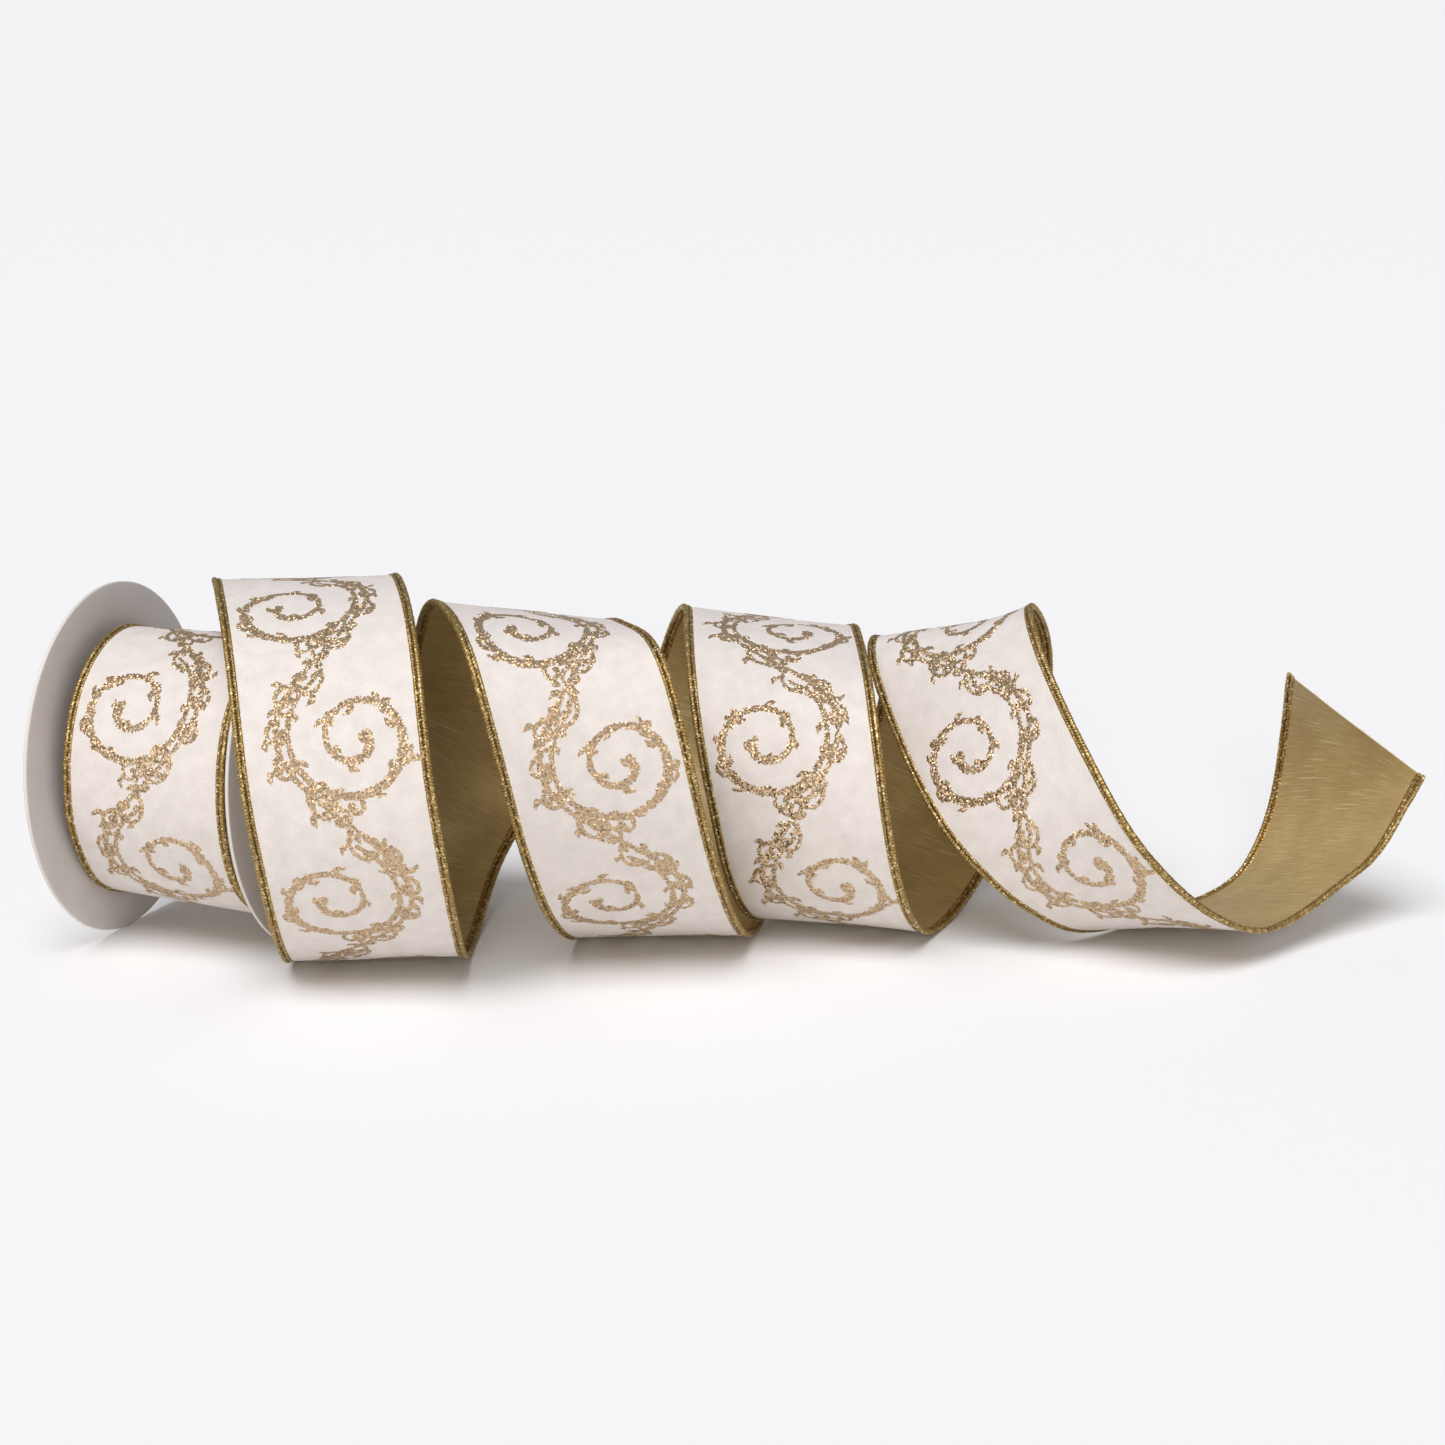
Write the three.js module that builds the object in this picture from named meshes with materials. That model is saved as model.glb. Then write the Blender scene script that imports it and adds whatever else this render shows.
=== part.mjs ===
// Ribbon spool lying on its side, with the first turns of its wired-edge ribbon drawn off to the right.
//
// Millimetres, +Z up, the table is z = 0 and +X runs along the drawn-off ribbon.  The spool's own axis is turned
// a little towards the front and its right end is lifted slightly, because the right flange stands on the ribbon.
// The free ribbon is one long strip cut into stretches of half a turn.  Each stretch has three pieces: the cloth
// between the wired edges and one overlocked edge along each side.

import * as THREE from 'three';

// ---------------------------------------------------------------------------------------------- dimensions

const RIBBON_WIDTH = 63.5; // over both wired edges
const CLOTH_THICKNESS = 1.0;
const EDGE_WIDTH = 3.0;
const EDGE_THICKNESS = 1.6;
const GAP = 0.3; // left between pieces that touch

const FLANGE_RADIUS = 62.5;
const FLANGE_THICKNESS = 1.4;
const FLANGE_SPACING = 75.6; // between the inner faces
const BORE_RADIUS = 19;
const TUBE_RADIUS = 21;
const LIP_RADIUS = 24.5; // rolled ends of the tube, outside the flanges
const LIP_THICKNESS = 1.2;
const PACK_RADIUS = 43.4; // outside of the wound turns
const PACK_START = 4.2; // from the left flange to the wound ribbon

const SPOOL_CENTRE = new THREE.Vector3(-221.75, 19.18, 62.77); // centre of the left flange's inner face
const SPOOL_YAW = 20; // degrees, right end towards the front
const SPOOL_LIFT = 1.6; // degrees, right end up

// Stations of the free ribbon.  The turn angle is 0 at the top of the first loop, 90 at its front, 180 at its
// bottom and so on.  The other columns are the centre of the loop (x, y, z), the radius front to back, the
// radius up and down, the yaw of the loop's own axis and the tilt of the ribbon's width out of that axis.
const STATIONS = [
  [-360, -188.5, 8, 63, 45.7, 45.7, 20, 0],
  [-270, -187.5, 9.5, 65, 49.2, 50, 20, 2],
  [-180, -188.5, 11, 66, 57, 56.5, 19, 4],
  [-135, -182, 6, 66, 63, 62, 19, 6],
  [-90, -175, -1, 67, 65, 67, 18, 1],
  [-45, -163, -14, 67, 67, 67, 9, 2],
  [0, -147, -26, 66, 69, 67, 3, 2],
  [90, -126, -23, 67, 70, 67, 3, 0],
  [180, -125, -12, 64, 72, 64, -5, 0],
  [225, -114, -3, 64, 73, 64, -5, 0],
  [270, -97, -5, 62, 68, 62, 0, 0],
  [360, -71, -33, 62, 67, 62, -2, -7],
  [450, -44, -10, 70, 66, 70, 1, -5],
  [540, -24, 14, 67, 66, 67, 1, 0],
  [630, -11, 28, 61, 64, 61, 7, 2],
  [720, 12, 30, 54, 62, 54, 12, -5],
  [810, 34, 22, 60, 60, 60, 14, 0],
  [900, 43, 20, 60, 60, 59, 15, 2],
  [990, 58, 27, 58, 56, 58, 26, 16],
  [1080, 76, 29, 52, 48, 53, 34, 15],
  [1170, 130, 13, 48, 54, 47, 29, 2],
  [1215, 152, 5, 51, 53, 50, 25, -4],
  [1260, 171, 3, 55, 50, 50, 15, -10],
  [1305, 200, -1, 53, 53, 50, 13, -35],
  [1350, 220, -8, 53, 53, 50, 3, -47],
  [1395, 242, -22, 49, 53, 50, -21, -48],
];
const RIBBON_LIFT = 1.2; // keeps the underside of the wired edges just above the table

// Stretches of the free ribbon, from the wound pack to the cut end.
const STRETCHES = [
  ['lead_off', -270, -90],
  ['rim_climb', -90, 0],
  ['loop_1_front', 0, 180],
  ['loop_1_back', 180, 360],
  ['loop_2_front', 360, 540],
  ['loop_2_back', 540, 720],
  ['loop_3_front', 720, 900],
  ['loop_3_back', 900, 1090],
  ['loop_4_front', 1090, 1260],
  ['tail', 1260, 1371],
];
const CUT_GAP = 0.15; // degrees trimmed off both ends of a stretch
const DEGREES_PER_STEP = 10;

const ROUND_SEGMENTS = 64;

// ------------------------------------------------------------------------------------------------ materials

function material(colour, roughness, metalness) {
  return new THREE.MeshStandardMaterial({ color: colour, roughness, metalness });
}

const BOARD = material(0xb9b2ac, 0.6, 0);
const TUBE_BOARD = material(0x8d7a63, 0.85, 0);
const CLOTH = material(0xf1e9df, 0.9, 0);
const GOLD_THREAD = material(0xa5823c, 0.45, 0.6);

// ------------------------------------------------------------------------------------------------ the spool

const group = new THREE.Group();

function addMesh(name, geometry, meshMaterial, parent) {
  const mesh = new THREE.Mesh(geometry, meshMaterial);
  mesh.name = name;
  parent.add(mesh);
}

// The spool group's +Y is the spool's axis, from the left flange to the right one.
const spool = new THREE.Group();
const yaw = THREE.MathUtils.degToRad(SPOOL_YAW);
const lift = THREE.MathUtils.degToRad(SPOOL_LIFT);
const spoolAxis = new THREE.Vector3(
  Math.cos(yaw) * Math.cos(lift),
  -Math.sin(yaw) * Math.cos(lift),
  Math.sin(lift),
);
spool.quaternion.setFromUnitVectors(new THREE.Vector3(0, 1, 0), spoolAxis);
spool.position.copy(SPOOL_CENTRE);
group.add(spool);

// A closed profile of [radius, distance along the axis] turned into a ring.
function ringGeometry(profile) {
  const points = profile.map(([radius, along]) => new THREE.Vector2(radius, along));
  points.push(points[0].clone());
  return new THREE.LatheGeometry(points, ROUND_SEGMENTS);
}

function washer(innerRadius, outerRadius, from, to) {
  return ringGeometry([
    [innerRadius, from],
    [outerRadius, from],
    [outerRadius, to],
    [innerRadius, to],
  ]);
}

const flangeHole = TUBE_RADIUS + GAP;
const lipInner = FLANGE_THICKNESS + GAP;
const lipOuter = lipInner + LIP_THICKNESS;
addMesh('left_flange', washer(flangeHole, FLANGE_RADIUS, -FLANGE_THICKNESS, 0), BOARD, spool);
addMesh(
  'right_flange',
  washer(flangeHole, FLANGE_RADIUS, FLANGE_SPACING, FLANGE_SPACING + FLANGE_THICKNESS),
  BOARD,
  spool,
);

// The tube's two ends are rolled outwards over the flanges and hold them on.
const tubeProfile = [
  [BORE_RADIUS, -lipOuter],
  [LIP_RADIUS, -lipOuter],
  [LIP_RADIUS, -lipInner],
  [TUBE_RADIUS, -lipInner],
  [TUBE_RADIUS, FLANGE_SPACING + lipInner],
  [LIP_RADIUS, FLANGE_SPACING + lipInner],
  [LIP_RADIUS, FLANGE_SPACING + lipOuter],
  [BORE_RADIUS, FLANGE_SPACING + lipOuter],
];
addMesh('core_tube', ringGeometry(tubeProfile), TUBE_BOARD, spool);

// The wound turns: the cloth in the middle and the stacked wired edges on both sides of it.
const packEnd = PACK_START + RIBBON_WIDTH;
const packInner = TUBE_RADIUS + GAP;
const clothFrom = PACK_START + EDGE_WIDTH + GAP;
const clothTo = packEnd - EDGE_WIDTH - GAP;
addMesh('wound_cloth', washer(packInner, PACK_RADIUS, clothFrom, clothTo), CLOTH, spool);
addMesh(
  'wound_edge_left',
  washer(packInner, PACK_RADIUS, PACK_START, PACK_START + EDGE_WIDTH),
  GOLD_THREAD,
  spool,
);
addMesh(
  'wound_edge_right',
  washer(packInner, PACK_RADIUS, packEnd - EDGE_WIDTH, packEnd),
  GOLD_THREAD,
  spool,
);

// ------------------------------------------------------------------------------------------ the free ribbon

// Smooth curve through one column of the stations.
function column(index, turn) {
  let i = 0;
  while (i < STATIONS.length - 2 && turn >= STATIONS[i + 1][0]) {
    i += 1;
  }
  const slope = (k) => {
    const before = Math.max(k - 1, 0);
    const after = Math.min(k + 1, STATIONS.length - 1);
    const rise = (a, b) => (STATIONS[b][index] - STATIONS[a][index]) / (STATIONS[b][0] - STATIONS[a][0]);
    if (before === k) {
      return rise(k, after);
    }
    if (after === k) {
      return rise(before, k);
    }
    const left = STATIONS[k][0] - STATIONS[before][0];
    const right = STATIONS[after][0] - STATIONS[k][0];
    return (rise(before, k) * right + rise(k, after) * left) / (left + right);
  };
  const step = STATIONS[i + 1][0] - STATIONS[i][0];
  const t = (turn - STATIONS[i][0]) / step;
  const start = STATIONS[i][index];
  const end = STATIONS[i + 1][index];
  return (
    (2 * t ** 3 - 3 * t ** 2 + 1) * start +
    (t ** 3 - 2 * t ** 2 + t) * step * slope(i) +
    (3 * t ** 2 - 2 * t ** 3) * end +
    (t ** 3 - t ** 2) * step * slope(i + 1)
  );
}

// Centre line of the ribbon at a turn angle.
function ribbonPoint(turn) {
  const [x, y, z, depth, height, axisYaw] = [1, 2, 3, 4, 5, 6].map((k) => column(k, turn));
  const angle = THREE.MathUtils.degToRad(turn);
  const heading = THREE.MathUtils.degToRad(axisYaw);
  return new THREE.Vector3(
    x - depth * Math.sin(angle) * Math.sin(heading),
    y - depth * Math.sin(angle) * Math.cos(heading),
    z + height * Math.cos(angle) + RIBBON_LIFT,
  );
}

// Directions at a turn angle: along the ribbon, across it to the right edge, and out of its printed face.
function ribbonFrame(turn) {
  const along = ribbonPoint(turn + 0.5).sub(ribbonPoint(turn - 0.5)).normalize();
  const heading = THREE.MathUtils.degToRad(column(6, turn));
  const tilt = THREE.MathUtils.degToRad(column(7, turn));
  const axis = new THREE.Vector3(Math.cos(heading), -Math.sin(heading), 0);
  const outward = new THREE.Vector3().crossVectors(along, axis).normalize();
  const across = new THREE.Vector3().crossVectors(outward, along);
  const width = across.clone().multiplyScalar(Math.cos(tilt)).addScaledVector(outward, Math.sin(tilt));
  const face = outward.clone().multiplyScalar(Math.cos(tilt)).addScaledVector(across, -Math.sin(tilt));
  return { along, width, face };
}

// Centre line of one stretch, with the ribbon's own directions as the frames of the sweep.
class RibbonStretch extends THREE.Curve {
  constructor(from, to) {
    super();
    this.from = from + CUT_GAP;
    this.to = to - CUT_GAP;
  }

  turnAt(t) {
    return this.from + (this.to - this.from) * t;
  }

  getPoint(t) {
    return ribbonPoint(this.turnAt(t));
  }

  getSpacedPoints(divisions) {
    return this.getPoints(divisions);
  }

  computeFrenetFrames(segments) {
    const frames = { tangents: [], normals: [], binormals: [] };
    for (let i = 0; i <= segments; i += 1) {
      const { along, width, face } = ribbonFrame(this.turnAt(i / segments));
      frames.tangents.push(along);
      frames.normals.push(width);
      frames.binormals.push(face);
    }
    return frames;
  }
}

function clothSection() {
  const halfWidth = RIBBON_WIDTH / 2 - EDGE_WIDTH - GAP;
  const halfThickness = CLOTH_THICKNESS / 2;
  return new THREE.Shape([
    new THREE.Vector2(-halfWidth, -halfThickness),
    new THREE.Vector2(halfWidth, -halfThickness),
    new THREE.Vector2(halfWidth, halfThickness),
    new THREE.Vector2(-halfWidth, halfThickness),
  ]);
}

function edgeSection(side) {
  const middle = side * (RIBBON_WIDTH / 2 - EDGE_WIDTH / 2);
  const points = [];
  for (let i = 0; i < 6; i += 1) {
    const angle = (i / 6) * Math.PI * 2;
    const across = middle + (Math.cos(angle) * EDGE_WIDTH) / 2;
    const through = (Math.sin(angle) / Math.sin(Math.PI / 3)) * (EDGE_THICKNESS / 2);
    points.push(new THREE.Vector2(across, through));
  }
  return new THREE.Shape(points);
}

function sweep(section, from, to) {
  const steps = Math.round((to - from) / DEGREES_PER_STEP);
  return new THREE.ExtrudeGeometry(section, { steps, extrudePath: new RibbonStretch(from, to) });
}

for (const [name, from, to] of STRETCHES) {
  addMesh(`${name}_cloth`, sweep(clothSection(), from, to), CLOTH, group);
  addMesh(`${name}_edge_left`, sweep(edgeSection(-1), from, to), GOLD_THREAD, group);
  addMesh(`${name}_edge_right`, sweep(edgeSection(1), from, to), GOLD_THREAD, group);
}

export default group;
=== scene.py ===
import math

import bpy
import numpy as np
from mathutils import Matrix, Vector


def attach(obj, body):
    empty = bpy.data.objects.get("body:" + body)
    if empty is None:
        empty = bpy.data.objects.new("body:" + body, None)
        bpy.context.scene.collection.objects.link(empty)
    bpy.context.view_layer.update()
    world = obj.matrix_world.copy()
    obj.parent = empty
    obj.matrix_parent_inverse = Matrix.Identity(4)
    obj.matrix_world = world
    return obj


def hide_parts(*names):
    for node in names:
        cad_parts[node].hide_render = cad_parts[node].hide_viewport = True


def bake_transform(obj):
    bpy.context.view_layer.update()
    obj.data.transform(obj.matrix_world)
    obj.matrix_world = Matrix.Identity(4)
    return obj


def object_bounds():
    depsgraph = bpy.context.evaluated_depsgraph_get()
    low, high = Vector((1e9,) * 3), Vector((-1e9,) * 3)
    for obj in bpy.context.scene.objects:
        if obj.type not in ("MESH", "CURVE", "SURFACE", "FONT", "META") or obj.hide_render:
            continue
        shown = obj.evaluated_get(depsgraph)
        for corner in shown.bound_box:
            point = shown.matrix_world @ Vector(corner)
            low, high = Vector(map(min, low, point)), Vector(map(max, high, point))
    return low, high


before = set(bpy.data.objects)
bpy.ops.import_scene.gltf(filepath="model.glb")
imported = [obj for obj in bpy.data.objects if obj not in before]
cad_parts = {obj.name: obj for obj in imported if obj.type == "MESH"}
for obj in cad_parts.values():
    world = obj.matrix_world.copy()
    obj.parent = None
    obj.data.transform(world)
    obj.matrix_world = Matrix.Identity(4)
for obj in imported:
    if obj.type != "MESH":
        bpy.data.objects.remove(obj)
cad_low, cad_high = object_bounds()

# Ribbon spool on its side, its wired-edge ribbon drawn off as an open coil.
#
# The ribbon is modelled as it is made: a white velvety face and a gold slubbed backing laid together, a wire
# overlocked into each edge with gold thread, and a gold glitter scroll printed on the face.  The drawn-off part
# is cut into the stretches of the CAD model, and the wound part is one long spiral on the core.
# Shapes are worked out in millimetres and stored in metres.

MM = 0.001
rng = np.random.default_rng(7)

# ------------------------------------------------------------------------------------------------- dimensions

RIBBON_WIDTH = 63.5
HALF = RIBBON_WIDTH / 2
FACE_TOP = 0.36  # outer side of the velvety face, from the ribbon's middle
FACE_BOTTOM = 0.02
BACK_TOP = -0.02
BACK_BOTTOM = -0.22
CLOTH_HALF = 30.6  # the cloths end inside the overlocked edges
ROPE_CENTRE = 30.75  # the wrapped wire
STITCH_LINE = 29.2  # the inner row of the overlock
GROOVE = 29.82  # between the two rows
STITCH_PITCH = 1.1

FLANGE_RADIUS = 62.5
FLANGE_THICKNESS = 1.4
FLANGE_SPACING = 75.6
BORE_RADIUS = 19.0
TUBE_RADIUS = 21.0
LIP_RADIUS = 24.5
PACK_MIDDLE = 4.2 + HALF  # from the left flange to the middle of the wound ribbon

SPOOL_CENTRE = np.array([-221.75, 19.18, 62.77])
SPOOL_YAW = math.radians(20)
SPOOL_LIFT = math.radians(1.6)
SPOOL_AXIS = np.array([
    math.cos(SPOOL_YAW) * math.cos(SPOOL_LIFT),
    -math.sin(SPOOL_YAW) * math.cos(SPOOL_LIFT),
    math.sin(SPOOL_LIFT),
])
SPOOL_FRONT = np.array([-math.sin(SPOOL_YAW), -math.cos(SPOOL_YAW), 0])
SPOOL_UP = np.array([
    -math.cos(SPOOL_YAW) * math.sin(SPOOL_LIFT),
    math.sin(SPOOL_YAW) * math.sin(SPOOL_LIFT),
    math.cos(SPOOL_LIFT),
])

WOUND_TURNS = 35
LAYER = 0.613  # from one wound turn to the next
WOUND_RADIUS = 43.2  # where the wound turns are still tight

# The route of the CAD model's ribbon, in turns of the coil: 0 is the top, 90 the front, 180 the bottom.  The rows
# began as the rounded result of a fit, and some were then added or changed.
# Turn, centre x, y, z, radius front to back, radius up and down, yaw, tilt.
STATIONS = np.array([
    [-360, -188.5, 8, 63, 45.7, 45.7, 20, 0],
    [-270, -187.5, 9.5, 65, 49.2, 50, 20, 2],
    [-180, -188.5, 11, 66, 57, 56.5, 19, 4],
    [-135, -182, 6, 66, 63, 62, 19, 6],
    [-90, -175, -1, 67, 65, 67, 18, 1],
    [-45, -163, -14, 67, 67, 67, 9, 2],
    [0, -147, -26, 66, 69, 67, 3, 2],
    [90, -126, -23, 67, 70, 67, 3, 0],
    [180, -125, -12, 64, 72, 64, -5, 0],
    [225, -114, -3, 64, 73, 64, -5, 0],
    [270, -97, -5, 62, 68, 62, 0, 0],
    [360, -71, -33, 62, 67, 62, -2, -7],
    [450, -44, -10, 70, 66, 70, 1, -5],
    [540, -24, 14, 67, 66, 67, 1, 0],
    [630, -11, 28, 61, 64, 61, 7, 2],
    [720, 12, 30, 54, 62, 54, 12, -5],
    [810, 34, 22, 60, 60, 60, 14, 0],
    [900, 43, 20, 60, 60, 59, 15, 2],
    [990, 58, 27, 58, 56, 58, 26, 16],
    [1080, 76, 29, 52, 48, 53, 34, 15],
    [1170, 130, 13, 48, 54, 47, 29, 2],
    [1215, 152, 5, 51, 53, 50, 25, -4],
    [1260, 171, 3, 55, 50, 50, 15, -10],
    [1305, 200, -1, 53, 53, 50, 13, -35],
    [1350, 220, -8, 53, 53, 50, 3, -47],
    [1395, 242, -22, 49, 53, 50, -21, -48],
], float)
RIBBON_LIFT = 1.2
FREE_FROM = -360.0  # the turn where the free route takes over from the wound one
OPENING_FROM = -500.0  # the turn where the last wound turn starts to spring open
LEAVES_PACK = -270  # the turn where the ribbon leaves the pack
CUT_END = 1371.0
NEARBY = 0.5  # degrees each way in which a route's direction is measured

# ------------------------------------------------------------------------------------------- the ribbon's route


def normalised(v):
    return v / np.linalg.norm(v, axis=-1, keepdims=True)


def smoothstep(t):
    t = np.clip(t, 0, 1)
    return t * t * (3 - 2 * t)


def column(index, turn):
    """Smooth curve through one column of the stations."""
    at, value = STATIONS[:, 0], STATIONS[:, index]
    step = np.diff(at)
    rise = np.diff(value) / step
    slope = np.concatenate([
        rise[:1],
        (rise[:-1] * step[1:] + rise[1:] * step[:-1]) / (step[1:] + step[:-1]),
        rise[-1:],
    ])
    i = np.clip(np.searchsorted(at, turn, side="right") - 1, 0, len(step) - 1)
    h, t = step[i], (turn - at[i]) / step[i]
    return (
        (2 * t**3 - 3 * t**2 + 1) * value[i]
        + (t**3 - 2 * t**2 + t) * h * slope[i]
        + (3 * t**2 - 2 * t**3) * value[i + 1]
        + (t**3 - t**2) * h * slope[i + 1]
    )


def free_point(turn):
    x, y, z, depth, height, yaw = (column(k, turn) for k in range(1, 7))
    a, yaw = np.radians(turn), np.radians(yaw)
    return np.stack([
        x - depth * np.sin(a) * np.sin(yaw),
        y - depth * np.sin(a) * np.cos(yaw),
        z + height * np.cos(a) + RIBBON_LIFT,
    ], -1)


def free_frames(turn):
    """Point, direction along, direction to the right edge and direction out of the printed face."""
    along = normalised(free_point(turn + NEARBY) - free_point(turn - NEARBY))
    yaw, tilt = np.radians(column(6, turn)), np.radians(column(7, turn))[:, None]
    axis = np.stack([np.cos(yaw), -np.sin(yaw), 0 * yaw], -1)
    outward = normalised(np.cross(along, axis))
    across = np.cross(outward, along)
    width = across * np.cos(tilt) + outward * np.sin(tilt)
    face = outward * np.cos(tilt) - across * np.sin(tilt)
    return np.stack([free_point(turn), along, width, face], 1)


PACK_CENTRE = SPOOL_CENTRE + SPOOL_AXIS * PACK_MIDDLE
FREE_START = free_frames(np.array([FREE_FROM]))[0]
START_ARM = FREE_START[0] - PACK_CENTRE
START_ALONG = START_ARM @ SPOOL_AXIS
START_LEAN = math.atan2(START_ARM @ SPOOL_FRONT, START_ARM @ SPOOL_UP)
START_SPRING = math.hypot(START_ARM @ SPOOL_FRONT, START_ARM @ SPOOL_UP) - WOUND_RADIUS - LAYER


def opened(turn):
    """How far the last wound turn has sprung open, 1 where the free ribbon's own route takes over."""
    return np.maximum((turn - OPENING_FROM) / (FREE_FROM - OPENING_FROM), 0) ** 3


def wound_point(turn):
    opening = opened(turn)
    radius = WOUND_RADIUS + LAYER * (turn + 720) / 360 + START_SPRING * opening
    a = np.radians(turn) + START_LEAN * opening
    outward = np.sin(a)[:, None] * SPOOL_FRONT + np.cos(a)[:, None] * SPOOL_UP
    return PACK_CENTRE + radius[:, None] * outward + (START_ALONG * opening)[:, None] * SPOOL_AXIS


def wound_frames(turn):
    """The same on the spool, where the turns are tight up to the last one."""
    along = normalised(wound_point(turn + NEARBY) - wound_point(turn - NEARBY))
    opening = np.minimum(opened(turn), 1)[:, None]
    width = SPOOL_AXIS * (1 - opening) + FREE_START[2] * opening
    width = normalised(width - along * np.sum(width * along, axis=1, keepdims=True))
    return np.stack([wound_point(turn), along, width, np.cross(along, width)], 1)


def frames_at_turn(turn):
    turn = np.asarray(turn, float)
    free = free_frames(np.maximum(turn, FREE_FROM))
    wound = wound_frames(np.minimum(turn, FREE_FROM))
    return np.where((turn >= FREE_FROM)[:, None, None], free, wound)


# The last wound turns and the whole free ribbon by distance along it, 0 where it leaves the pack.
WALK_FROM = -1080
WALK_STEP = 0.25
walk_turns = np.arange(WALK_FROM, CUT_END + 0.1, WALK_STEP)
walk_frames = frames_at_turn(walk_turns)
walk = np.concatenate([[0], np.cumsum(np.linalg.norm(np.diff(walk_frames[:, 0], axis=0), axis=1))])
walk -= np.interp(LEAVES_PACK, walk_turns, walk)


def distance_at(turn):
    return float(np.interp(turn, walk_turns, walk))


WAVE_CELLS = 4096
EDGE_SLACK = 0.35  # millimetres each way that an edge wanders
MIDDLE_SLACK = 0.45
SLACK_FROM, SLACK_OVER = -90, 120  # where along the ribbon the slack starts, and how long it takes to build up


def wave(x, seed):
    """Smooth wandering between -1 and 1 along x, one swing for about every unit."""
    lattice = np.random.default_rng(seed).uniform(-1, 1, WAVE_CELLS)
    cell = np.floor(x).astype(int)
    f = smoothstep(x - cell)
    return lattice[cell % WAVE_CELLS] * (1 - f) + lattice[(cell + 1) % WAVE_CELLS] * f


def slack(s, w):
    """How far the cloth sinks below a perfectly rolled strip: soft hollows, and edges that wander a little."""
    edge = (w / HALF) ** 2
    left = (wave(s / 17, 1) - 1) * EDGE_SLACK * edge * (w < 0)
    right = (wave(s / 19, 2) - 1) * EDGE_SLACK * edge * (w > 0)
    middle = (wave(s / 23 + 0.4 * np.sin(w / 11), 3) - 1) * MIDDLE_SLACK * (1 - edge)
    return left + right + middle


def on_strip(s, w, n):
    """Points in the row frame, in millimetres, of places on the ribbon: distance along, across and above its middle."""
    s, w, n = np.broadcast_arrays(s, w, n)
    flat = walk_frames.reshape(len(walk_frames), 12)
    at = np.stack([np.interp(s.ravel(), walk, flat[:, k]) for k in range(12)], -1)
    at = at.reshape(s.shape + (4, 3))
    at[..., 2:, :] = normalised(at[..., 2:, :])
    lift = n + slack(s, w) * smoothstep((s - SLACK_FROM) / SLACK_OVER)
    return at[..., 0, :] + w[..., None] * at[..., 2, :] + lift[..., None] * at[..., 3, :]


# ------------------------------------------------------------------------------------------------ mesh helpers

CREASE = math.radians(60)  # faces that meet at more than this are shaded apart


def rings_to_quads(count, size, closed, first=0):
    """Quads of a tube of count rings of size points, capped at both ends unless it closes on itself."""
    i = np.arange(count if closed else count - 1)[:, None]
    j = np.arange(size)[None, :]
    following, beside = (i + 1) % count, (j + 1) % size
    quads = np.stack([
        i * size + j, i * size + beside, following * size + beside, following * size + j,
    ], -1).reshape(-1, 4)
    if not closed:
        k = np.arange(size // 2 - 1)
        cap = np.stack([k, k + 1, size - 2 - k, size - 1 - k], -1)
        quads = np.concatenate([quads, cap[:, ::-1], cap + (count - 1) * size])
    return quads + first


def mesh_object(name, points, quads, material, strip=None, relief=None):
    """A smooth mesh from points in millimetres, facing outwards, with the values that its material reads."""
    corners = points[quads]
    volume = np.einsum("ij,ij->i", corners[:, 0], np.cross(corners[:, 1], corners[:, 2])).sum()
    volume += np.einsum("ij,ij->i", corners[:, 0], np.cross(corners[:, 2], corners[:, 3])).sum()
    if volume < 0:
        quads = quads[:, ::-1]
    mesh = bpy.data.meshes.new(name)
    mesh.vertices.add(len(points))
    mesh.vertices.foreach_set("co", (points * MM).astype(np.float32).ravel())
    mesh.loops.add(quads.size)
    mesh.loops.foreach_set("vertex_index", np.ascontiguousarray(quads, np.int32).ravel())
    mesh.polygons.add(len(quads))
    mesh.polygons.foreach_set("loop_start", np.arange(0, quads.size, 4, dtype=np.int32))
    mesh.update(calc_edges=True)
    mesh.validate()
    mesh.polygons.foreach_set("use_smooth", np.ones(len(mesh.polygons), bool))
    mesh.set_sharp_from_angle(angle=CREASE)
    if strip is not None:
        mesh.attributes.new("strip", "FLOAT_VECTOR", "POINT").data.foreach_set(
            "vector", strip.astype(np.float32).ravel())
    if relief is not None:
        mesh.attributes.new("relief", "FLOAT", "POINT").data.foreach_set(
            "value", relief.astype(np.float32).ravel())
    mesh.materials.append(material)
    piece = bpy.data.objects.new(name, mesh)
    bpy.context.scene.collection.objects.link(piece)
    return piece


# --------------------------------------------------------------------------------------------------- materials


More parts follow.
